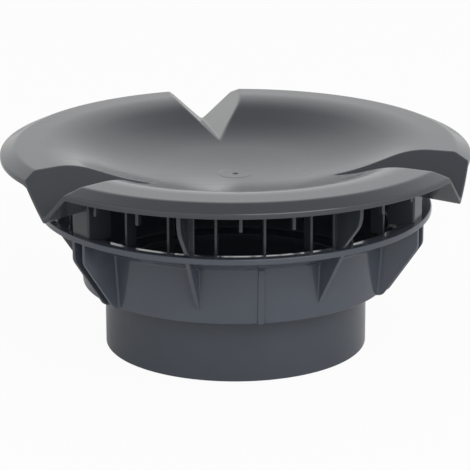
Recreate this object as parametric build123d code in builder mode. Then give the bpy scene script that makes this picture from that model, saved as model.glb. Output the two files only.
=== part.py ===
"""Roof ventilation cap: a funnel base that plugs into a round duct, and a rain lid that stands on its hoop.

The origin is the centre of the spigot's lower edge, +Z is up, and the middle of one lid lobe faces -Y.
"""
import os
from math import atan2, cos, radians, sin, tan

from build123d import *

os.makedirs("parts", exist_ok=True)

# Threefold layout: the lobes of the lid, with a drain valley between neighbours
lobe_count = 3
first_lobe = -90.0
lobe_turn = 360.0 / lobe_count
valley_offset = lobe_turn / 2

# Base: spigot, shoulder, collar, flare and hoop, each stepping out and up from the one before
base_wall = 2.5
spigot_radius = 62.0
spigot_length = 31.2
shoulder_width = 10.5
collar_height = 26.3
collar_taper = 4.0
flare_width = 14.46
flare_rise = 7.9
hoop_band = 2.8
lip_width = 3.7
land_width = 4.6
land_slope = 6.5
spigot_chamfer = 0.6

# Base: plates under the hoop and ribs on the collar, in angles from a lobe's middle
gusset_offset = 22.5
gusset_thickness = 1.9
gusset_lean = 34.0
gusset_setback = 1.0
pair_spacing = 7.6
pair_heel_width = 2.27
pair_straight = 9.4
pair_heel_round = 3.5
pair_shoulder_round = 6.0
collar_rib_width = 3.0
collar_rib_height = 0.7

# Lid: section from the rim inwards, with a sloped skirt, a flat crest, a brow, and a dish that flattens out
lid_wall = 2.0
lid_overhang = 17.7
skirt_width = 6.9
skirt_angle = 24.5
fold_chamfer = 1.1
crest_width = 11.3
brow_width = 26.0
slope_angle = 21.0
bend_width = 27.2
middle_slope = 7.5
outlet_height = 13.3
dish_depth = 15.9
gate_radius = 1.2
gate_depth = 0.6

# Lid: V valleys that drain the dish through the rim
valley_drop = 1.5
valley_rise = 4.6
valley_half_angle = 46.5
valley_overrun = 5.0

# Lid: fins, pegs, brackets and posts under the dish, in angles from a lobe's middle
seat_clearance = 0.3
fin_offsets = (-45.0, -30.0, -15.0, 0.0, 15.0, 30.0, 45.0)
fin_setback = 0.8
fin_depth = 7.0
fin_thickness = 1.3
peg_offsets = (-52.5, -37.5, -7.5, 7.5, 37.5, 52.5)
peg_setback = 1.1
peg_depth = 2.8
peg_thickness = 1.6
peg_lift = 12.0
bracket_offset = 22.5
bracket_overhang = 14.5
bracket_thickness = 1.8
bracket_lean = 43.5
bracket_setback = 1.0
bracket_round = 12.0
flange_setback = 1.6
flange_width = 4.4
flange_thickness = 1.7
post_width = 12.4
post_wall = 1.4
post_depth = 13.0

# Base: heights, radii and angles that follow from the sizes above
spigot_bore = spigot_radius - base_wall
shoulder_top = spigot_length + base_wall
flare_start = spigot_length + collar_height
hoop_bottom = flare_start + flare_rise
hoop_top = hoop_bottom + hoop_band
collar_radius = spigot_radius + shoulder_width
collar_top_radius = collar_radius + collar_height * tan(radians(collar_taper))
lip_radius = collar_top_radius + flare_width
hoop_radius = lip_radius + lip_width
land_radius = lip_radius - land_width
throat_radius = collar_top_radius - base_wall
flare_angle = atan2(flare_rise, flare_width)
throat_height = flare_start + base_wall / cos(flare_angle) - base_wall * tan(flare_angle)
land_height = throat_height + (land_radius - throat_radius) * tan(flare_angle)
lip_foot = land_height + land_width * tan(radians(land_slope))
hoop_root = (lip_foot + hoop_bottom) / 2

# Lid: radii and heights from the hoop outwards, then from the rim inwards
lid_radius = hoop_radius + lid_overhang
fold_radius = lid_radius - skirt_width
crest_radius = fold_radius - crest_width
slope_radius = crest_radius - brow_width
middle_radius = slope_radius - bend_width
dish_height = hoop_top + outlet_height
crest_height = dish_height + dish_depth
lid_top = crest_height + lid_wall
valley_height = dish_height - valley_drop
rim_face = lid_wall / sin(radians(valley_half_angle))
foot_height = lip_foot + seat_clearance
tongue_radius = lip_radius - seat_clearance

# Lid: arcs of the dish, tangent to one another, and the arc of the brow that meets their slope
middle_curve = middle_radius / sin(radians(middle_slope))
bend_curve = bend_width / (sin(radians(slope_angle)) - sin(radians(middle_slope)))
middle_rise = middle_radius * tan(radians(middle_slope / 2))
bend_rise = bend_width * tan(radians((middle_slope + slope_angle) / 2))
brow_rise = dish_depth - middle_rise - bend_rise
brow_excess = brow_width * tan(radians(slope_angle)) - brow_rise
brow_curve = brow_excess / (1 / cos(radians(slope_angle)) - 1)
brow_radius = crest_radius - brow_curve * sin(radians(slope_angle))
brow_height = crest_height - brow_curve * (1 - cos(radians(slope_angle)))
rim_height = crest_height - skirt_width * tan(radians(skirt_angle))

# Lid: corners of the plain cones under the dish, where the tangents of its arcs meet
middle_knee = middle_curve * tan(radians(middle_slope / 2))
knee_turn = radians((slope_angle - middle_slope) / 2)
slope_knee = middle_radius + bend_curve * tan(knee_turn) * cos(radians(middle_slope))
slope_knee_height = dish_height + (slope_knee - middle_knee) * tan(radians(middle_slope))


def collar_at(height):
    """Outer radius of the tapered collar at a height."""
    return collar_radius + (height - spigot_length) * tan(radians(collar_taper))


def root_at(height):
    """Radius in the middle of the collar's wall, where the plates on it begin."""
    return collar_at(height) - base_wall / 2


def turns(*offsets):
    """Rotations about the axis to every offset in every lobe."""
    angles = [first_lobe + lobe * lobe_turn + offset for lobe in range(lobe_count) for offset in offsets]
    return [Location((0, 0, 0), (0, 0, angle)) for angle in angles]


def corner(sketch, radius, height):
    """The sketch's vertex nearest to a point of the half section."""
    return sketch.vertices().sort_by_distance((radius, height))[0]


def turn_lid_top():
    """Everything below the lid's top surface, turned about the axis."""
    with BuildSketch(Plane.XZ) as section:
        with BuildLine():
            middle = JernArc((0, dish_height), (1, 0), middle_curve, middle_slope)
            bend = JernArc(middle @ 1, middle % 1, bend_curve, slope_angle - middle_slope)
            brow = JernArc((crest_radius, crest_height), (-1, 0), brow_curve, slope_angle)
            Line(bend @ 1, brow @ 1)
            Polyline(
                brow @ 0,
                (fold_radius, crest_height),
                (lid_radius, rim_height),
                (lid_radius, hoop_bottom),
                (0, hoop_bottom),
                middle @ 0,
            )
        make_face()
        chamfer(corner(section, fold_radius, crest_height), fold_chamfer)
    revolve(section.sketch, axis=Axis.Z)


def turn_lid_underside(lower, inset):
    """Everything below plain cones that follow the top surface, lowered and drawn in at the rim."""
    with BuildSketch(Plane.XZ) as section:
        with BuildLine():
            Polyline(
                (0, dish_height - lower),
                (middle_knee, dish_height - lower),
                (slope_knee, slope_knee_height - lower),
                (brow_radius, brow_height - lower),
                (crest_radius, crest_height - lower),
                (fold_radius, crest_height - lower),
                (lid_radius - inset, rim_height + inset * tan(radians(skirt_angle)) - lower),
                (lid_radius - inset, hoop_bottom),
                (0, hoop_bottom),
                close=True,
            )
        make_face()
    revolve(section.sketch, axis=Axis.Z)


def cut_valleys(lower):
    """V grooves between the lobes, whose lowest line rises from the rim to the dish."""
    with Locations((0, 0, -lower)):
        with Locations(*turns(valley_offset)):
            add(valley.part, mode=Mode.SUBTRACT)


# Cutter for one valley: a V prism along +X, laid along the valley's lowest line
mouth_radius = lid_radius + valley_overrun
mouth_height = valley_height - valley_overrun * tan(radians(valley_rise))
mouth_plane = Plane(
    origin=(mouth_radius, 0, mouth_height),
    x_dir=(0, 1, 0),
    z_dir=(cos(radians(valley_rise)), 0, -sin(radians(valley_rise))),
)
valley_depth = lid_top - mouth_height
with BuildPart() as valley:
    with BuildSketch(mouth_plane):
        with BuildLine():
            half_mouth = valley_depth * tan(radians(valley_half_angle))
            Polyline((0, 0), (half_mouth, valley_depth), (-half_mouth, valley_depth), close=True)
        make_face()
    extrude(amount=-mouth_radius)

# Single gusset: a straight plate from the hoop down to the collar
gusset_reach = hoop_radius - gusset_setback
lean_run = tan(radians(gusset_lean))
tip_fall = (gusset_reach - collar_at(hoop_bottom)) / (lean_run - tan(radians(collar_taper)))
gusset_tip = hoop_bottom - tip_fall
with BuildPart() as gusset:
    with BuildSketch(Plane.XZ):
        with BuildLine():
            Polyline(
                (root_at(gusset_tip), gusset_tip),
                (collar_at(gusset_tip), gusset_tip),
                (gusset_reach, hoop_bottom),
                (gusset_reach, hoop_root),
                (lip_radius, hoop_root),
                (root_at(flare_start), flare_start),
                close=True,
            )
        make_face()
    extrude(amount=gusset_thickness / 2, both=True)

# Plate of a pair of gussets below a valley: it runs straight down first, then leans in to the shoulder
pair_knee = hoop_bottom - pair_straight
pair_heel = collar_radius + pair_heel_width
with BuildPart() as pair_plate:
    with BuildSketch(Plane.XZ) as plate:
        with BuildLine():
            Polyline(
                (root_at(spigot_length), spigot_length),
                (pair_heel, spigot_length),
                (gusset_reach, pair_knee),
                (gusset_reach, hoop_root),
                (lip_radius, hoop_root),
                (root_at(flare_start), flare_start),
                close=True,
            )
        make_face()
        fillet(corner(plate, pair_heel, spigot_length), pair_heel_round)
        fillet(corner(plate, gusset_reach, pair_knee), pair_shoulder_round)
    extrude(amount=gusset_thickness / 2, both=True)

# Low rib up the collar
with BuildPart() as collar_rib:
    with BuildSketch(Plane.XZ):
        with BuildLine():
            Polyline(
                (root_at(spigot_length), spigot_length),
                (collar_at(spigot_length) + collar_rib_height, spigot_length),
                (collar_at(flare_start) + collar_rib_height, flare_start),
                (root_at(flare_start), flare_start),
                close=True,
            )
        make_face()
    extrude(amount=collar_rib_width / 2, both=True)

# Base: the turned funnel with its gussets, and a collar rib at the middle of each lobe
with BuildPart() as base:
    with BuildSketch(Plane.XZ) as funnel:
        with BuildLine():
            Polyline(
                (spigot_bore, 0),
                (spigot_radius, 0),
                (spigot_radius, spigot_length),
                (collar_radius, spigot_length),
                (collar_top_radius, flare_start),
                (lip_radius, hoop_bottom),
                (hoop_radius, hoop_bottom),
                (hoop_radius, hoop_top),
                (lip_radius, hoop_top),
                (lip_radius, lip_foot),
                (land_radius, land_height),
                (throat_radius, throat_height),
                (collar_at(shoulder_top) - base_wall, shoulder_top),
                (spigot_bore, shoulder_top),
                close=True,
            )
        make_face()
        chamfer(corner(funnel, spigot_radius, 0), spigot_chamfer)
    revolve(axis=Axis.Z)
    with Locations(*turns(-gusset_offset, gusset_offset)):
        add(gusset.part)
    with Locations(*turns(valley_offset)):
        with Locations((0, pair_spacing / 2, 0), (0, -pair_spacing / 2, 0)):
            add(pair_plate.part)
    with Locations(*turns(0.0)):
        add(collar_rib.part)

base.part.label = "base"
export_step(base.part, "parts/base.step")

# Fin: a narrow radial strip from the dish down to the mouth of the funnel
with BuildPart() as fin:
    with Locations((land_radius - fin_setback, 0, land_height + seat_clearance)):
        Box(fin_depth, fin_thickness, lid_top - land_height, align=(Align.MAX, Align.CENTER, Align.MIN))

# Peg: a short tab that hangs behind the rim
peg_bottom = hoop_top + peg_lift
with BuildPart() as peg:
    with Locations((hoop_radius - peg_setback, 0, peg_bottom)):
        Box(peg_depth, peg_thickness, lid_top - peg_bottom, align=(Align.MAX, Align.CENTER, Align.MIN))

# Bracket: a radial web that stands on the hoop and reaches inside its lip, with a flange on its inner edge
flange_radius = lip_radius - flange_setback
web_inner = flange_radius - flange_thickness
web_toe = hoop_radius - bracket_setback
bracket_radius = web_toe + bracket_overhang
web_knee = hoop_top + bracket_overhang / tan(radians(bracket_lean))
with BuildPart() as bracket:
    with BuildSketch(Plane.XZ) as web:
        with BuildLine():
            Polyline(
                (web_inner, foot_height),
                (tongue_radius, foot_height),
                (tongue_radius, hoop_top),
                (web_toe, hoop_top),
                (bracket_radius, web_knee),
                (bracket_radius, lid_top),
                (web_inner, lid_top),
                close=True,
            )
        make_face()
        fillet(corner(web, bracket_radius, web_knee), bracket_round)
    extrude(amount=bracket_thickness / 2, both=True)
    with Locations((flange_radius, 0, foot_height)):
        Box(flange_thickness, flange_width, lid_top - foot_height, align=(Align.MAX, Align.CENTER, Align.MIN))

# Post: a channel under a valley, open to the inside, that stands on the hoop and reaches inside its lip
post_front = lip_radius + post_wall
post_back = post_front - post_depth
with BuildPart() as post:
    with BuildSketch(Plane.XZ):
        with BuildLine():
            Polyline(
                (post_back, foot_height),
                (tongue_radius, foot_height),
                (tongue_radius, hoop_top),
                (post_front, hoop_top),
                (post_front, lid_top),
                (post_back, lid_top),
                close=True,
            )
        make_face()
    extrude(amount=post_width / 2, both=True)
    with Locations((lip_radius, 0, foot_height)):
        Box(
            post_depth,
            post_width - 2 * post_wall,
            lid_top - foot_height,
            align=(Align.MAX, Align.CENTER, Align.MIN),
            mode=Mode.SUBTRACT,
        )

# Space under the middle of the lid's wall, which the ribs fill up to
with BuildPart() as rib_space:
    turn_lid_underside(lid_wall / 2, lid_wall / 2)
    cut_valleys(rim_face / 2)

# Ribs: everything that hangs from the lid
with BuildPart() as ribs:
    with Locations(*turns(*fin_offsets)):
        add(fin.part)
    with Locations(*turns(*peg_offsets)):
        add(peg.part)
    with Locations(*turns(-bracket_offset, bracket_offset)):
        add(bracket.part)
    with Locations(*turns(valley_offset)):
        add(post.part)
    add(rib_space.part, mode=Mode.INTERSECT)

# Space under the lid: inside the wall, and below the face of the rim
with BuildPart() as lid_space:
    turn_lid_underside(lid_wall, lid_wall)
    turn_lid_underside(rim_face, -valley_overrun)
    cut_valleys(rim_face)

# Lid: the dish with its valleys, hollowed from below, with its ribs and the mark of the gate in the middle
with BuildPart() as rain_lid:
    turn_lid_top()
    cut_valleys(0)
    add(lid_space.part, mode=Mode.SUBTRACT)
    add(ribs.part)
    with Locations((0, 0, dish_height)):
        Cylinder(gate_radius, 2 * gate_depth, mode=Mode.SUBTRACT)

rain_lid.part.label = "rain_lid"
export_step(rain_lid.part, "parts/rain_lid.step")
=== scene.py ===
# %% [markdown]
# # A roof ventilation cap, surface by surface
# The real thing is two grey plastic mouldings. The base is a funnel that plugs into a round duct, and the rain lid
# is a shallow dish that stands on the funnel's hoop and sheds water through three V valleys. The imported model
# already holds both at their true size. Here each is drawn again with the soft edges of a moulding, as surfaces
# worked out in numpy, in the same place and to the same sizes.

import bmesh
import bpy
import numpy as np
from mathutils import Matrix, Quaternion, Vector


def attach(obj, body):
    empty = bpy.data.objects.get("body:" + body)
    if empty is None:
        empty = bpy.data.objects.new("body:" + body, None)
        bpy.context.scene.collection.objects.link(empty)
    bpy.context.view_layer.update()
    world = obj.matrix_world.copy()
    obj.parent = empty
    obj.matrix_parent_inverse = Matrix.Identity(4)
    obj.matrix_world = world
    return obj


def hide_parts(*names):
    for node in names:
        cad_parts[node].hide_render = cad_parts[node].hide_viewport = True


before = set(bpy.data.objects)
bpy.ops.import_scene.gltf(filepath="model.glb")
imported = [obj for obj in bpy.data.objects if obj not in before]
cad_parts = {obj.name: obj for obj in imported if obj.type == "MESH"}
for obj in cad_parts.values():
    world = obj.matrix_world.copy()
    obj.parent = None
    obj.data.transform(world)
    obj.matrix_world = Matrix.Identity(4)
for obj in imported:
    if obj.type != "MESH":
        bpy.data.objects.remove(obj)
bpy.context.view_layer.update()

# %% [markdown]
# ## From numbers to a mesh
# A moulding is smooth, so nearly every surface here is a grid: rows of points that are joined to their neighbours
# by quads. Three small helpers do all of that. One makes the quads, one gathers the points and faces of several
# shapes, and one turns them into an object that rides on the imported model's only body.

# %% Grid and mesh helpers
MM = 0.001
LOBES = np.radians((-90.0, 30.0, 150.0))
VALLEYS = LOBES + np.radians(60.0)


def grid_faces(rows, columns):
    """Quads of a grid whose last column joins its first: each point, its right neighbour, and the two above them."""
    row, column = np.meshgrid(np.arange(rows - 1), np.arange(columns), indexing="ij")
    following = (column + 1) % columns
    corners = (row * columns + column, row * columns + following)
    return np.stack((*corners, corners[1] + columns, corners[0] + columns), axis=-1).reshape(-1, 4)


def stack_shape(rows):
    """A stack of closed outlines, as an array of rows by points by 3, with both ends closed.

    Each outline is a thin band that runs out along one side and back along the other, so an end closes like a zip:
    every point and the next are joined to the two that lie across from them.
    """
    count, around = rows.shape[:2]
    near = np.arange(around // 2 - 1)
    across = np.stack((near, near + 1, around - 2 - near, around - 1 - near), axis=1)
    faces = np.concatenate((grid_faces(count, around), across[:, ::-1], across + (count - 1) * around))
    return rows.reshape(-1, 3), [faces]


def turned_about_axis(points, angle):
    """Points turned about the vertical axis: x and y mix by the angle's cosine and sine, and heights stay."""
    cosine, sine = np.cos(angle), np.sin(angle)
    x, y, z = np.moveaxis(points, -1, 0)
    return np.stack((x * cosine - y * sine, x * sine + y * cosine, z), axis=-1)


def make_piece(name, shapes, node, flat_first=True):
    """One object from shapes given in millimetres, on the body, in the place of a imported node."""
    starts = np.cumsum([0] + [len(points) for points, groups in shapes])
    points = np.concatenate([points for points, groups in shapes]) * MM
    faces = [
        face
        for start, (_, groups) in zip(starts, shapes)
        for group in groups
        for face in (group + start).tolist()
    ]
    mesh = bpy.data.meshes.new(name)
    mesh.from_pydata(points.tolist(), [], faces)
    work = bmesh.new()
    work.from_mesh(mesh)
    bmesh.ops.recalc_face_normals(work, faces=work.faces)
    work.to_mesh(mesh)
    work.free()
    mesh.polygons.foreach_set("use_smooth", np.ones(len(mesh.polygons), dtype=bool))
    piece = bpy.data.objects.new(name, mesh)
    bpy.context.scene.collection.objects.link(piece)
    if flat_first:
        keep_flats = piece.modifiers.new("keep flats flat", "WEIGHTED_NORMAL")
        keep_flats.weight = 100
    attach(piece, "root")
    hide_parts(node)
    print(name, "-", len(shapes), "shapes,", len(points), "points,", len(faces), "faces")
    return piece


# %% [markdown]
# ## Soft corners
# A moulded edge is never sharp: the tool's cutter leaves a small round. A section is written as a few corners with
# a radius each, and every corner becomes an arc that touches both of its edges.

# %% Rounded sections
def rounded(corners, radii, steps=6, closed=True):
    """A polygon with its corners rounded.

    An arc touches each edge at radius / tan(half the corner's angle) from the corner, and its points turn evenly
    from one touching point to the other about the arc's centre.
    """
    corners = np.asarray(corners, dtype=float)
    radii = np.maximum(np.asarray(radii, dtype=float), 1e-4)[:, None]
    back = np.roll(corners, 1, axis=0) - corners
    ahead = np.roll(corners, -1, axis=0) - corners
    back /= np.linalg.norm(back, axis=1, keepdims=True)
    ahead /= np.linalg.norm(ahead, axis=1, keepdims=True)
    half = np.arccos(np.clip((back * ahead).sum(1, keepdims=True), -1, 1)) / 2
    middle = (back + ahead) / np.linalg.norm(back + ahead, axis=1, keepdims=True)
    centre = corners + middle * radii / np.sin(half)
    start = corners + back * radii / np.tan(half) - centre
    stop = corners + ahead * radii / np.tan(half) - centre
    turn = (np.pi - 2 * half)[:, None]
    share = np.linspace(0, 1, steps)[None, :, None]
    arcs = np.sin((1 - share) * turn) * start[:, None] + np.sin(share * turn) * stop[:, None]
    arcs = centre[:, None] + arcs / np.sin(turn)
    if closed:
        return arcs.reshape(-1, 2)
    inner = arcs[1:-1].reshape(-1, 2)
    return np.concatenate((corners[:1], inner, corners[-1:]))


# %% [markdown]
# ## The base
# The funnel is a body of revolution: a straight spigot, a step, a collar that widens a little upwards, a flare, and
# a hoop. Its section is a closed outline of fourteen corners. Carried once round the axis, it closes on itself, so
# there is no seam. Behind the hoop's low lip lies a land that falls gently inwards. It is drawn higher here than in
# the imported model, so that it shows over the lip and mirrors the light that comes through the far slots.

# %% Sizes of the base
BASE_WALL = 2.5
SPIGOT_RADIUS, SPIGOT_LENGTH = 62.0, 31.2
COLLAR_RADIUS, COLLAR_SLOPE = 72.5, np.tan(np.radians(4.0))
FLARE_START, FLARE_WIDTH = 57.5, 14.46
FLARE_TAN = 7.9 / FLARE_WIDTH
HOOP_BOTTOM, HOOP_TOP = 65.4, 68.2
COLLAR_TOP_RADIUS = COLLAR_RADIUS + (FLARE_START - SPIGOT_LENGTH) * COLLAR_SLOPE
LIP_RADIUS = COLLAR_TOP_RADIUS + FLARE_WIDTH
HOOP_RADIUS = LIP_RADIUS + 3.7
LAND_WIDTH = 4.6
LAND_RADIUS = LIP_RADIUS - LAND_WIDTH
THROAT_RADIUS = COLLAR_TOP_RADIUS - BASE_WALL
THROAT_HEIGHT = FLARE_START + BASE_WALL * (np.sqrt(1 + FLARE_TAN ** 2) - FLARE_TAN)
LAND_HEIGHT = THROAT_HEIGHT + (LAND_RADIUS - THROAT_RADIUS) * FLARE_TAN
LAND_FALL = LAND_WIDTH * np.tan(np.radians(6.5))
LIP_FOOT = LAND_HEIGHT + LAND_FALL
LIP_STEP = 0.3
HOOP_ROOT = (LIP_FOOT + HOOP_BOTTOM) / 2
print("hoop radius", round(HOOP_RADIUS, 2), "land height", round(LAND_HEIGHT, 2), "mm")


# %% The funnel
def turned_section(section, segments):
    """A closed section carried round the axis: each of its points moves on a circle of its own radius."""
    angle = np.linspace(0, 2 * np.pi, segments, endpoint=False)[:, None]
    radius, height = section[None, :, 0], section[None, :, 1]
    rows = np.stack((radius * np.cos(angle), radius * np.sin(angle), height + 0 * angle), axis=-1)
    faces = grid_faces(segments + 1, len(section)) % (segments * len(section))
    return rows.reshape(-1, 3), [faces]


inner_collar = COLLAR_RADIUS + BASE_WALL * COLLAR_SLOPE - BASE_WALL
funnel_corners = [
    (SPIGOT_RADIUS - BASE_WALL, 0, 0.4),
    (SPIGOT_RADIUS, 0, 0.6),
    (SPIGOT_RADIUS, SPIGOT_LENGTH, 0.5),
    (COLLAR_RADIUS, SPIGOT_LENGTH, 0.7),
    (COLLAR_TOP_RADIUS, FLARE_START, 3.0),
    (LIP_RADIUS, HOOP_BOTTOM, 0.6),
    (HOOP_RADIUS, HOOP_BOTTOM, 0.5),
    (HOOP_RADIUS, HOOP_TOP, 0.6),
    (LIP_RADIUS, HOOP_TOP, 0.1),
    (LIP_RADIUS, HOOP_TOP - LIP_STEP, 0.1),
    (LAND_RADIUS, HOOP_TOP - LIP_STEP - LAND_FALL, 0.8),
    (THROAT_RADIUS, THROAT_HEIGHT, 2.0),
    (inner_collar, SPIGOT_LENGTH + BASE_WALL, 1.0),
    (SPIGOT_RADIUS - BASE_WALL, SPIGOT_LENGTH + BASE_WALL, 0.6),
]
funnel_section = rounded([c[:2] for c in funnel_corners], [c[2] for c in funnel_corners])
funnel = make_piece("base_funnel", [turned_section(funnel_section, 288)], "base")

# %% [markdown]
# ## Plates that stand on a wall
# Gussets, ribs and webs are all the same idea: a thin plate that grows out of a wall. Cut level, each looks like
# a finger with two rounded corners at its tip and two small fillets at its root, where the plastic flows into the
# wall. Stacking such fingers, with a reach that changes with height, gives the whole plate.

# %% Stacked fingers
def finger_plate(inner, outer, heights, half, edge, fillet, side=0.0, top=None, angle=0.0):
    """A plate as a stack of level outlines, one for each height.

    Every outline runs from inside the wall along a fillet to the plate's side, round the tip's two corners, and
    back the same way. Where the plate is shorter than its rounds, they shrink with it. With a top, more outlines
    rise from the last height to that surface in equal steps.
    """
    length = np.maximum(outer - inner, 0.02)[:, None]
    edge = np.minimum(edge, length / 2)
    fillet = np.minimum(fillet, length / 2)
    turn = np.linspace(0, np.pi / 2, 6)[None, :]
    inner, outer = inner[:, None], outer[:, None]
    root_u = inner + fillet * (1 - np.cos(turn)) - 0.06
    root_v = half + fillet * (1 - np.sin(turn))
    tip_u = np.maximum(outer, inner + 0.02) - edge + edge * np.sin(turn)
    tip_v = half - edge + edge * np.cos(turn)
    bury = inner - 0.9
    u = np.concatenate((bury, root_u, tip_u, tip_u[:, ::-1], root_u[:, ::-1], bury), axis=1)
    v = np.concatenate((root_v[:, :1], root_v, tip_v, -tip_v[:, ::-1], -root_v[:, ::-1], -root_v[:, :1]), axis=1)
    rows = np.stack((u, v + side, heights[:, None] + 0 * u), axis=-1)
    rows = turned_about_axis(rows, angle)
    if top is not None:
        share = np.linspace(0, 1, 9)[1:, None]
        last = rows[-1]
        roof = top(last[:, 0], last[:, 1])
        rise = last[None, :, 2] + share * (roof - last[:, 2])
        more = np.broadcast_to(last, (len(share), *last.shape)).copy()
        more[..., 2] = rise
        rows = np.concatenate((rows, more))
    return stack_shape(rows)


def wall_reach(height):
    """Outer radius of the collar, and above it of the flare, at a height."""
    collar = COLLAR_RADIUS + (height - SPIGOT_LENGTH) * COLLAR_SLOPE
    flare = COLLAR_TOP_RADIUS + (height - FLARE_START) / FLARE_TAN
    return np.where(height < FLARE_START, collar, np.minimum(flare, LIP_RADIUS))


# %% [markdown]
# ## Gussets and ribs of the base
# Six single gussets carry the hoop, two to a lobe. Below each valley a pair of deeper plates runs down to the
# shoulder, with a rounded heel. A low rib up the collar marks the middle of each lobe.

# %% Gussets
GUSSET_REACH = HOOP_RADIUS - 1.0
GUSSET_ANGLES = (LOBES[:, None] + np.radians((-22.5, 22.5))).ravel()
PLATE_HALF, PLATE_EDGE, PLATE_FILLET = 0.95, 0.4, 0.8
PAIR_OFFSETS = (-3.8, 3.8)
LEAN = np.tan(np.radians(34.0))
collar_at_hoop = COLLAR_RADIUS + (HOOP_BOTTOM - SPIGOT_LENGTH) * COLLAR_SLOPE
gusset_tip = HOOP_BOTTOM - (GUSSET_REACH - collar_at_hoop) / (LEAN - COLLAR_SLOPE)
rise = np.concatenate((np.linspace(gusset_tip, FLARE_START, 12), np.linspace(FLARE_START + 0.6, HOOP_BOTTOM, 10)))
rise = np.append(rise, HOOP_ROOT)
reach = np.minimum(GUSSET_REACH, GUSSET_REACH - (HOOP_BOTTOM - rise) * LEAN)
gussets = make_piece(
    "base_gussets",
    [
        finger_plate(wall_reach(rise), reach, rise, PLATE_HALF, PLATE_EDGE, PLATE_FILLET, angle=a)
        for a in GUSSET_ANGLES
    ],
    "base",
)

# %% Gusset pairs
pair_path = rounded(
    [(COLLAR_RADIUS, SPIGOT_LENGTH), (COLLAR_RADIUS + 2.27, SPIGOT_LENGTH), (GUSSET_REACH, HOOP_BOTTOM - 9.4),
     (GUSSET_REACH, HOOP_ROOT)],
    [0, 3.5, 6.0, 0],
    steps=9,
    closed=False,
)
low, high = pair_path[9], pair_path[10]
slant = low + (high - low) * np.linspace(0, 1, 14)[1:-1, None]
crown = pair_path[-2] + (pair_path[-1] - pair_path[-2]) * np.linspace(0, 1, 9)[1:, None]
pair_edge = np.concatenate((pair_path[1:10], slant, pair_path[10:-1], crown))
pair_reach, pair_rise = pair_edge.T
pairs = make_piece(
    "base_gusset_pairs",
    [
        finger_plate(
            wall_reach(pair_rise), pair_reach, pair_rise, PLATE_HALF, PLATE_EDGE, PLATE_FILLET, side=s, angle=a
        )
        for a in VALLEYS
        for s in PAIR_OFFSETS
    ],
    "base",
)

# %% Collar ribs
rib_rise = np.linspace(SPIGOT_LENGTH + 0.1, FLARE_START - 0.4, 10)
rib_wall = wall_reach(rib_rise)
collar_ribs = make_piece(
    "base_collar_ribs",
    [finger_plate(rib_wall, rib_wall + 0.7, rib_rise, 1.5, 0.35, 0.35, angle=a) for a in LOBES],
    "base",
)

# %% [markdown]
# ## The rain lid's surface
# Seen from above, the lid is one height for every place: a bowl of tangent arcs that climbs to a flat crest and
# folds down into a skirt. Each valley is a V with sloping walls, whose lowest line falls towards the rim. The lid
# lies at the lower of the two heights, and a soft minimum rounds the ridge where they cross.

# %% Section of the bowl and height of the lid
LID_RADIUS = HOOP_RADIUS + 17.7
FOLD_RADIUS, CREST_HEIGHT = LID_RADIUS - 6.9, 97.4
CREST_RADIUS, DISH_HEIGHT = FOLD_RADIUS - 11.3, 81.5
BROW_WIDTH, BEND_WIDTH = 26.0, 27.2
MIDDLE_RADIUS = CREST_RADIUS - BROW_WIDTH - BEND_WIDTH
STEEP, GENTLE, SKIRT = np.radians((21.0, 7.5, 24.5))
VALLEY_HALF, VALLEY_FALL = np.radians((46.5, 4.6))
LID_WALL = 2.0
RIM_FACE = LID_WALL / np.sin(VALLEY_HALF)
VALLEY_HEIGHT, VALLEY_RISE = 80.0, np.tan(VALLEY_FALL)
VALLEY_WALL = 1 / (np.tan(VALLEY_HALF) * np.cos(VALLEY_FALL))
TOP_ROUND, UNDER_ROUND = 0.9, 0.7


def arc(radius, height, first, last, curve):
    """Points of an arc that leaves a point at one slope and ends at another: sines run out, cosines run up."""
    slope = np.linspace(first, last, 60)
    return radius + curve * (np.sin(slope) - np.sin(first)), height + curve * (np.cos(first) - np.cos(slope))


bowl_middle = arc(0.0, DISH_HEIGHT, 0.0, GENTLE, MIDDLE_RADIUS / np.sin(GENTLE))
bend_curve = BEND_WIDTH / (np.sin(STEEP) - np.sin(GENTLE))
bowl_bend = arc(bowl_middle[0][-1], bowl_middle[1][-1], GENTLE, STEEP, bend_curve)
brow_excess = BROW_WIDTH * np.tan(STEEP) - (CREST_HEIGHT - bowl_bend[1][-1])
brow_curve = brow_excess / (1 / np.cos(STEEP) - 1)
brow_start = (CREST_RADIUS - brow_curve * np.sin(STEEP), CREST_HEIGHT - brow_curve * (1 - np.cos(STEEP)))
bowl_brow = arc(*brow_start, STEEP, 0.0, -brow_curve)
fold_round = 5.0
fold_touch = fold_round * np.tan(SKIRT / 2)
bowl_fold = arc(FOLD_RADIUS - fold_touch, CREST_HEIGHT, 0.0, -SKIRT, -fold_round)
skirt_stop = LID_RADIUS + 3
skirt_end = np.array([[skirt_stop], [CREST_HEIGHT - (skirt_stop - FOLD_RADIUS) * np.tan(SKIRT)]])
section_radius, section_height = np.concatenate((bowl_middle, bowl_bend, bowl_brow, bowl_fold, skirt_end), axis=1)
print("section of", len(section_radius), "points, brow radius", round(brow_curve, 1), "mm")


def bowl_height(radius):
    """Height of the bowl, crest and skirt at a radius, read off the section."""
    return np.interp(radius, section_radius, section_height)


def valley_height(radius, angle, soft):
    """Height of a valley's wall: its lowest line, plus the distance to that line times the wall's slope."""
    along, across = radius * np.cos(angle), radius * np.sin(angle)
    lowest = VALLEY_HEIGHT + (LID_RADIUS - along) * VALLEY_RISE
    return lowest + VALLEY_WALL * np.sqrt(across ** 2 + soft ** 2)


def soft_minimum(first, second, blend):
    """The lower of two heights, less a quarter of the blend where they are equal, fading over one blend."""
    near = np.maximum(1 - np.abs(first - second) / blend, 0)
    return np.minimum(first, second) - blend * near ** 2 / 4


def smooth_step(value, start, stop):
    """0 below the start, 1 above the stop, and an S curve between."""
    share = np.clip((value - start) / (stop - start), 0, 1)
    return share * share * (3 - 2 * share)


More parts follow.
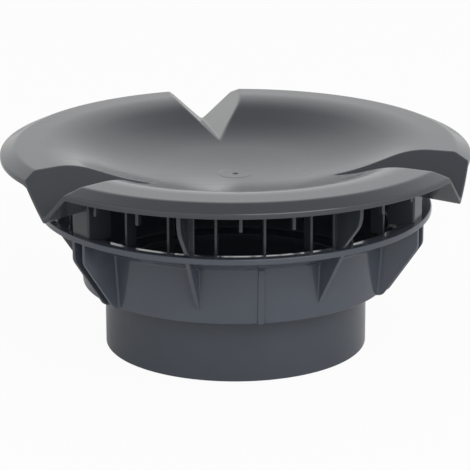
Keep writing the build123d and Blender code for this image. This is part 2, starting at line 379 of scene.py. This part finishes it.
def lid_top(radius, angle):
    """Upper surface of the lid, for the angle from the nearest valley, with the gate's mark in the middle."""
    mark = -0.6 * (1 - smooth_step(radius, 1.0, 1.35)) + 0.12 * (1 - smooth_step(radius, 7.4, 8.2))
    return soft_minimum(bowl_height(radius), valley_height(radius, angle, TOP_ROUND), TOP_ROUND) + mark


def lid_underside(radius, angle):
    """Lower surface: the same shape one wall lower, and a little lower still along the rim and under a valley."""
    rim = (RIM_FACE - LID_WALL) * smooth_step(radius, 107.8, 108.3)
    bowl = bowl_height(radius) - LID_WALL - rim
    return soft_minimum(bowl, valley_height(radius, angle, UNDER_ROUND) - RIM_FACE, UNDER_ROUND)


# %% [markdown]
# ## A grid that follows the ridges
# A plain polar grid would saw across the ridges of the valleys. So the columns are placed by where the ridge is:
# at every radius, some lie between the valley's lowest line and its ridge, crowded at both, and the rest fan out
# from the ridge to the middle of the lobe. The ridge's angle comes from halving an interval, for all radii at once.

# %% Columns of the lid
def ridge_angle(radius):
    """Angle from the valley's line where its wall reaches the bowl, by bisection; 0 where there is no valley."""
    low, high = np.zeros_like(radius), np.full_like(radius, np.radians(40.0))
    for _ in range(40):
        middle = (low + high) / 2
        above = valley_height(radius, middle, 0.0) > bowl_height(radius)
        low, high = np.where(above, low, middle), np.where(above, middle, high)
    return high


WALL_SHARES = np.array([0, 0.025, 0.055, 0.1, 0.18, 0.32, 0.5, 0.68, 0.82, 0.9, 0.945, 0.97, 0.988])
LOBE_SHARES = np.concatenate(([0, 0.004, 0.009, 0.017, 0.03], np.linspace(0.055, 1, 20)))


def lid_columns(radius):
    """Angles of all columns at each radius, and their angles from the nearest valley's line."""
    least = np.minimum(1.0 / radius, np.radians(6.0))
    ridge = np.sqrt(ridge_angle(radius) ** 2 + least ** 2)[:, None]
    half = np.concatenate((ridge * WALL_SHARES, ridge + (np.pi / 3 - ridge) * LOBE_SHARES), axis=1)
    sector = np.concatenate((-half[:, :0:-1], half[:, :-1]), axis=1)
    angle = np.concatenate([valley + sector for valley in VALLEYS], axis=1)
    return angle, np.tile(sector, len(VALLEYS))


def lid_rows(radius, heights_of):
    """Points of the lid for an array of radii, with heights from a function of radius and angle."""
    angle, from_valley = lid_columns(np.minimum(radius, LID_RADIUS))
    radius = radius[:, None]
    return np.stack((radius * np.cos(angle), radius * np.sin(angle), heights_of(radius, from_valley)), axis=-1)


# %% The lid's shell
fold_band = np.linspace(FOLD_RADIUS - fold_touch, FOLD_RADIUS + fold_touch, 8)
stations = np.concatenate((
    [0.55, 0.95, 1.05, 1.15, 1.25, 1.35, 1.6, 2.4, 4, 6, 7.2, 7.5, 7.8, 8.1, 8.4],
    np.arange(10, 43, 2.0), np.arange(43, 56, 0.75), np.arange(56, 102, 1.5), fold_band,
    [106, 107.3, 108.6, 109.3],
))
EDGE = 0.6
turn = np.linspace(0, np.pi / 2, 6)
edge_in = LID_RADIUS - EDGE
upper_edge = np.stack((edge_in + EDGE * np.sin(turn), EDGE * (1 - np.cos(turn))))
top_rows = lid_rows(stations, lid_top)
upper_rows = lid_rows(upper_edge[0], lid_top)
upper_rows[..., 2] -= upper_edge[1][:, None]
lower_rows = lid_rows(upper_edge[0][::-1], lid_underside)
lower_rows[..., 2] += upper_edge[1][::-1][:, None]
under_stations = np.concatenate((
    [109.0, 108.5, 108.3, 108.15, 108.0, 107.8, 107.0], stations[::-1][5:-15], [5.0, 1.0],
))
under_rows = lid_rows(under_stations, lid_underside)
shell_rows = np.concatenate((top_rows, upper_rows, lower_rows, under_rows))
count, around = shell_rows.shape[:2]
poles = np.array([[0, 0, DISH_HEIGHT - 0.48], [0, 0, DISH_HEIGHT - LID_WALL]])
top_pole, low_pole = count * around, count * around + 1
ring = np.arange(around)
following = (ring + 1) % around
last_row = (count - 1) * around
cap_top = np.stack((np.full(around, top_pole), following, ring), axis=1)
cap_low = np.stack((np.full(around, low_pole), last_row + ring, last_row + following), axis=1)
shell_points = np.concatenate((shell_rows.reshape(-1, 3), poles))
shell_faces = [grid_faces(count, around), cap_top, cap_low]
lid_shell = make_piece("lid_shell", [(shell_points, shell_faces)], "rain_lid", flat_first=False)


# %% [markdown]
# ## What hangs below the lid
# Twenty-one fins comb the outgoing air, eighteen short pegs hang behind the rim, and six brackets and three channel
# posts stand on the hoop and carry the lid. Each is an upright outline that ends in the middle of the lid's wall, so
# it grows out of the plastic without a gap.

# %% Upright outlines
def lid_middle(x, y):
    """Height of the middle of the lid's wall above a place in plan."""
    radius, angle = np.hypot(x, y), np.arctan2(y, x)
    from_valley = (angle - VALLEYS[0] + np.pi / 3) % (2 * np.pi / 3) - np.pi / 3
    return (lid_top(radius, from_valley) + lid_underside(radius, from_valley)) / 2


def subdivided(outline, step=1.2):
    """The same closed band with points added along its two sides, as many on one side as across from it.

    An edge is cut into as many pieces as the step needs on the longer of the two sides. The band's two end edges,
    which are the last and the middle one, stay whole.
    """
    ahead = np.roll(outline, -1, axis=0)
    pieces = np.maximum(np.ceil(np.linalg.norm(ahead - outline, axis=1) / step), 1).astype(int)
    pieces = np.maximum(pieces, np.roll(pieces[::-1], -1))
    pieces[[len(outline) // 2 - 1, -1]] = 1
    owner = np.repeat(np.arange(len(outline)), pieces)
    share = (np.arange(len(owner)) - np.repeat(np.cumsum(pieces) - pieces, pieces)) / pieces[owner]
    return outline[owner] + (ahead - outline)[owner] * share[:, None]


def upright(corners, radii, foot, edge, angle, ceiling=None):
    """A rounded outline in plan that rises from a bevelled foot to the middle of the lid's wall, or to a ceiling."""
    outline = subdivided(rounded(corners, radii, steps=5))
    ahead, back = np.roll(outline, -1, axis=0), np.roll(outline, 1, axis=0)
    normal = (ahead - back)[:, ::-1] * (1, -1)
    normal /= np.linalg.norm(normal, axis=1, keepdims=True)
    turn = np.linspace(0, np.pi / 2, 4)
    inset, lift = edge * (1 - np.sin(turn)), edge * (1 - np.cos(turn))
    foot_rows = outline[None] - normal[None] * inset[:, None, None]
    rows = np.concatenate((foot_rows, np.broadcast_to(outline, (8, *outline.shape))))
    rows = np.concatenate((rows, np.zeros((*rows.shape[:2], 1))), axis=-1)
    rows = turned_about_axis(rows, angle)
    roof = lid_middle(rows[-1, :, 0], rows[-1, :, 1]) if ceiling is None else np.full(len(outline), ceiling)
    rows[:4, :, 2] = foot + lift[:, None]
    rows[4:, :, 2] = foot + edge + np.linspace(0, 1, 9)[1:, None] * (roof - foot - edge)
    return stack_shape(rows)


def oblong(inner, outer, half):
    """Corners of a radial oblong in plan, from its inner to its outer radius."""
    return [(inner, -half), (outer, -half), (outer, half), (inner, half)]


# %% Fins and pegs
SEAT_GAP = 0.3
FIN_WIDTH, PEG_WIDTH, PEG_CLEARANCE = 7.0, 2.8, 12.0
fin_outer = LAND_RADIUS - 0.8
fin_angles = (LOBES[:, None] + np.radians((-45, -30, -15, 0, 15, 30, 45))).ravel()
fins = make_piece(
    "lid_fins",
    [
        upright(oblong(fin_outer - FIN_WIDTH, fin_outer, 0.65), [0.3] * 4, LAND_HEIGHT + SEAT_GAP, 0.25, a)
        for a in fin_angles
    ],
    "rain_lid",
)
peg_outer = HOOP_RADIUS - 1.1
peg_angles = (LOBES[:, None] + np.radians((-52.5, -37.5, -7.5, 7.5, 37.5, 52.5))).ravel()
pegs = make_piece(
    "lid_pegs",
    [
        upright(oblong(peg_outer - PEG_WIDTH, peg_outer, 0.8), [0.35] * 4, HOOP_TOP + PEG_CLEARANCE, 0.3, a)
        for a in peg_angles
    ],
    "rain_lid",
)

# %% Brackets
FOOT_HEIGHT = LIP_FOOT + SEAT_GAP
TONGUE_RADIUS = LIP_RADIUS - SEAT_GAP
WEB_OVERHANG = 14.5
flange_outer = LIP_RADIUS - 1.6
web_toe = HOOP_RADIUS - 1.0
web_reach = web_toe + WEB_OVERHANG
web_knee = HOOP_TOP + WEB_OVERHANG / np.tan(np.radians(43.5))
web_path = rounded(
    [(web_toe, HOOP_TOP), (web_reach, web_knee), (web_reach, web_knee + 5.5)], [0, 12.0, 0], steps=12, closed=False
)
lean_part = web_path[0] + (web_path[1] - web_path[0]) * np.linspace(0, 1, 8)[:-1, None]
tongue = np.array([(TONGUE_RADIUS, FOOT_HEIGHT), (TONGUE_RADIUS, HOOP_TOP - 0.03)])
web_edge = np.concatenate((tongue, lean_part, web_path[1:]))
web_root = np.full(len(web_edge), flange_outer - 0.2)
brackets = make_piece(
    "lid_brackets",
    [
        finger_plate(web_root, web_edge[:, 0], web_edge[:, 1], 0.9, 0.35, 0.5, top=lid_middle, angle=a)
        for a in GUSSET_ANGLES
    ]
    + [
        upright(oblong(flange_outer - 1.7, flange_outer, 2.2), [0.4] * 4, FOOT_HEIGHT, 0.25, a)
        for a in GUSSET_ANGLES
    ],
    "rain_lid",
)

# %% Channel posts
post_front = LIP_RADIUS + 1.4
post_back = post_front - 13.0
channel = [
    (post_back, -6.2), (post_front, -6.2), (post_front, 6.2), (post_back, 6.2),
    (post_back, 4.8), (LIP_RADIUS, 4.8), (LIP_RADIUS, -4.8), (post_back, -4.8),
]
channel_rounds = [0.3, 0.9, 0.9, 0.3, 0.3, 0.5, 0.5, 0.3]
shoe = [(post_back + 0.05, 4.85), (TONGUE_RADIUS, 4.85), (TONGUE_RADIUS, 6.15), (post_back + 0.05, 6.15)]
other_shoe = [(x, -y) for x, y in shoe[::-1]]
posts = make_piece(
    "lid_posts",
    [upright(channel, channel_rounds, HOOP_TOP, 0.2, a) for a in VALLEYS]
    + [
        upright(s, [0.3] * 4, FOOT_HEIGHT, 0.2, a, ceiling=HOOP_TOP + 2.0)
        for a in VALLEYS
        for s in (shoe, other_shoe)
    ],
    "rain_lid",
)

# %% [markdown]
# ## Shader sums as plain Python
# A material is a graph of small nodes, and long sums are hard to read as links. A thin wrapper round a socket lets
# them be written as Python: each operator adds one Math node and gives back its output.

# %% Wrapped sockets
class Wire:
    """An output socket that can be added, subtracted and multiplied like a number."""

    def __init__(self, graph, socket):
        self.graph, self.socket = graph, socket

    def _math(self, operation, first, second):
        return self.graph.node("ShaderNodeMath", {"operation": operation}, {0: first, 1: second})

    def __add__(self, other):
        return self._math("ADD", self, other)

    def __sub__(self, other):
        return self._math("SUBTRACT", self, other)

    def __mul__(self, other):
        return self._math("MULTIPLY", self, other)

    __radd__ = __add__


class Graph:
    """The node tree of one material or world, filled by one method."""

    def __init__(self, owner):
        owner.use_nodes = True
        self.tree = owner.node_tree
        self.tree.nodes.clear()

    def node(self, kind, settings=None, inputs=None, output=0):
        """Adds a node, sets it up, joins or fills its sockets, and gives back one of its outputs."""
        made = self.tree.nodes.new(kind)
        for name, value in (settings or {}).items():
            setattr(made, name, value)
        for key, value in (inputs or {}).items():
            if isinstance(value, Wire):
                self.tree.links.new(value.socket, made.inputs[key])
            else:
                made.inputs[key].default_value = value
        return Wire(self, made.outputs[output]) if len(made.outputs) else made


# %% [markdown]
# ## Slate-grey plastic
# The mouldings are satin plastic. Up close the colour drifts a little, the sheen is uneven and has faint streaks from
# handling, and a fine grain breaks up highlights. All of these come from noise on Object coordinates. Below the step,
# at the height of the spigot, the tone is a little darker: this is painted shade for the shade that falls on the
# spigot.

# %% The plastic
STEP_LOW, STEP_HIGH = 0.0308, 0.0314
STREAK_SCALE = (18.0, 420.0, 420.0)


def slate_plastic(name, dark, light, sheen, grain):
    """A satin grey plastic: two close tones, a roughness that wanders, faint streaks, a fine grain, and painted shade
    below the step.
    """
    material = bpy.data.materials.new(name)
    graph = Graph(material)
    place = graph.node("ShaderNodeTexCoord", output="Object")
    cloud = graph.node("ShaderNodeTexNoise", {}, {"Vector": place, "Scale": 22.0, "Detail": 4.0, "Roughness": 0.55})
    speck = graph.node("ShaderNodeTexNoise", {}, {"Vector": place, "Scale": 900.0, "Detail": 2.0})
    height = graph.node("ShaderNodeSeparateXYZ", {}, {0: place}, output="Z")
    # Painted shade: below the step, at the spigot's height, the colour moves towards the dark tone.
    above_painted_shade = graph.node("ShaderNodeMapRange", {}, {0: height, 1: STEP_LOW, 2: STEP_HIGH})
    tone_and_painted_shade = cloud * 0.5 + speck * 0.1 + above_painted_shade * 0.4
    colour = graph.node(
        "ShaderNodeMix", {"data_type": "RGBA"},
        {"Factor": tone_and_painted_shade, 6: (*dark, 1.0), 7: (*light, 1.0)}, output=2,
    )
    smear = graph.node("ShaderNodeTexNoise", {}, {"Vector": place, "Scale": 60.0, "Detail": 3.0})
    drawn_out = graph.node("ShaderNodeVectorMath", {"operation": "MULTIPLY"}, {0: place, 1: STREAK_SCALE})
    streak = graph.node("ShaderNodeTexNoise", {}, {"Vector": drawn_out, "Scale": 1.0, "Detail": 3.0})
    roughness = sheen + (smear - 0.5) * 0.06 + (speck - 0.5) * 0.03 + (streak - 0.5) * 0.12
    fine = graph.node("ShaderNodeTexNoise", {}, {"Vector": place, "Scale": 1500.0, "Detail": 2.0, "Roughness": 0.6})
    slow = graph.node("ShaderNodeTexNoise", {}, {"Vector": place, "Scale": 45.0, "Detail": 1.0})
    relief = fine * grain + slow * (grain * 3) + streak * (grain * 0.6)
    bump = graph.node("ShaderNodeBump", {}, {"Strength": 1.0, "Distance": 0.001, "Height": relief})
    shader = graph.node(
        "ShaderNodeBsdfPrincipled", {},
        {"Base Color": colour, "Roughness": roughness, "Normal": bump, "IOR": 1.5},
    )
    graph.node("ShaderNodeOutputMaterial", {}, {"Surface": shader})
    return material


base_plastic = slate_plastic("base plastic", (0.034, 0.040, 0.050), (0.070, 0.080, 0.100), 0.13, 0.003)
lid_plastic = slate_plastic("lid plastic", (0.029, 0.032, 0.038), (0.042, 0.047, 0.054), 0.17, 0.002)
for piece in (funnel, gussets, pairs, collar_ribs):
    piece.data.materials.append(base_plastic)
for piece in (lid_shell, fins, pegs, brackets, posts):
    piece.data.materials.append(lid_plastic)
print("plastics:", base_plastic.name, "and", lid_plastic.name)

# %% [markdown]
# ## Floor, light and camera
# The cap stands in a white studio: a pale floor, white walls that the satin plastic mirrors at grazing angles, a
# dimmer ceiling, and one soft lamp at the front right. The camera stands a little to the left of one lobe's middle
# and looks down a little.

# %% Floor and surround
floor_mesh = bpy.data.meshes.new("floor")
floor_mesh.from_pydata([(-6, -6, 0), (6, -6, 0), (6, 6, 0), (-6, 6, 0)], [], [(0, 1, 2, 3)])
floor = bpy.data.objects.new("floor", floor_mesh)
floor.location.z = -0.0004
bpy.context.scene.collection.objects.link(floor)
floor_material = bpy.data.materials.new("pale floor")
floor_mesh.materials.append(floor_material)
pale = Graph(floor_material)
floor_speck = pale.node("ShaderNodeTexNoise", {}, {"Scale": 40.0, "Detail": 2.0})
floor_tone = pale.node(
    "ShaderNodeMix", {"data_type": "RGBA"},
    {"Factor": floor_speck, 6: (0.7, 0.7, 0.7, 1), 7: (0.74, 0.74, 0.74, 1)}, output=2,
)
floor_shader = pale.node("ShaderNodeBsdfPrincipled", {}, {"Base Color": floor_tone, "Roughness": 0.9})
white = pale.node("ShaderNodeEmission", {}, {"Color": (1, 1, 1, 1), "Strength": 1.0})
path = pale.tree.nodes.new("ShaderNodeLightPath")
seen = Wire(pale, path.outputs["Is Camera Ray"])
floor_mix = pale.node("ShaderNodeMixShader", {}, {0: seen * 0.94, 1: floor_shader, 2: white})
pale.node("ShaderNodeOutputMaterial", {}, {"Surface": floor_mix})

world = bpy.data.worlds.new("studio")
bpy.context.scene.world = world
studio = Graph(world)
direction = studio.node("ShaderNodeTexCoord", output="Generated")
height = studio.node("ShaderNodeSeparateXYZ", {}, {0: direction}, output="Z")
overhead = studio.node("ShaderNodeMapRange", {"interpolation_type": "SMOOTHSTEP"}, {0: height, 1: 0.5, 2: 0.9})
white = studio.node("ShaderNodeBackground", {}, {"Color": (1, 1, 1, 1), "Strength": 1.0})
walls = studio.node("ShaderNodeBackground", {}, {"Color": (1, 1, 1, 1), "Strength": 1.05})
ceiling = studio.node("ShaderNodeBackground", {}, {"Color": (1, 1, 1, 1), "Strength": 0.38})
room = studio.node("ShaderNodeMixShader", {}, {0: overhead, 1: walls, 2: ceiling})
path = studio.tree.nodes.new("ShaderNodeLightPath")
seen = Wire(studio, path.outputs["Is Camera Ray"]) + Wire(studio, path.outputs["Is Transmission Ray"])
surround = studio.node("ShaderNodeMixShader", {}, {0: seen, 1: room, 2: white})
studio.node("ShaderNodeOutputWorld", {}, {"Surface": surround})
print("floor and surround ready")


# %% Lamp
def soft_lamp(name, place, target, width, power):
    """A square area lamp that faces its target."""
    lamp = bpy.data.lights.new(name, "AREA")
    lamp.shape, lamp.size, lamp.energy = "SQUARE", width, power
    holder = bpy.data.objects.new(name, lamp)
    holder.location = place
    holder.rotation_euler = (Vector(target) - Vector(place)).to_track_quat("-Z", "Y").to_euler()
    bpy.context.scene.collection.objects.link(holder)
    return holder


middle = (0, 0, 0.06)
key_lamp = soft_lamp("key lamp", (0.52, -1.44, 1.34), middle, 1.5, 20.0)
print("lamp:", key_lamp.name)

# %% Camera
AZIMUTH, ELEVATION, ROLL = np.radians((-8.95, 17.0, -0.14))
DISTANCE, TARGET = 1.2403, Vector((-0.00025, 0, 0.05133))
back = Vector((np.sin(AZIMUTH) * np.cos(ELEVATION), -np.cos(AZIMUTH) * np.cos(ELEVATION), np.sin(ELEVATION)))
lens = bpy.data.cameras.new("camera")
lens.sensor_width, lens.lens = 36.0, 200.27
lens.clip_start, lens.clip_end = 0.05, 50
camera = bpy.data.objects.new("camera", lens)
camera.location = TARGET + back * DISTANCE
camera.rotation_mode = "QUATERNION"
camera.rotation_quaternion = (-back).to_track_quat("-Z", "Y") @ Quaternion((0, 0, 1), ROLL)
bpy.context.scene.collection.objects.link(camera)
bpy.context.scene.camera = camera
bpy.context.scene.view_settings.view_transform = "Standard"
print("camera at", [round(v, 3) for v in camera.location])
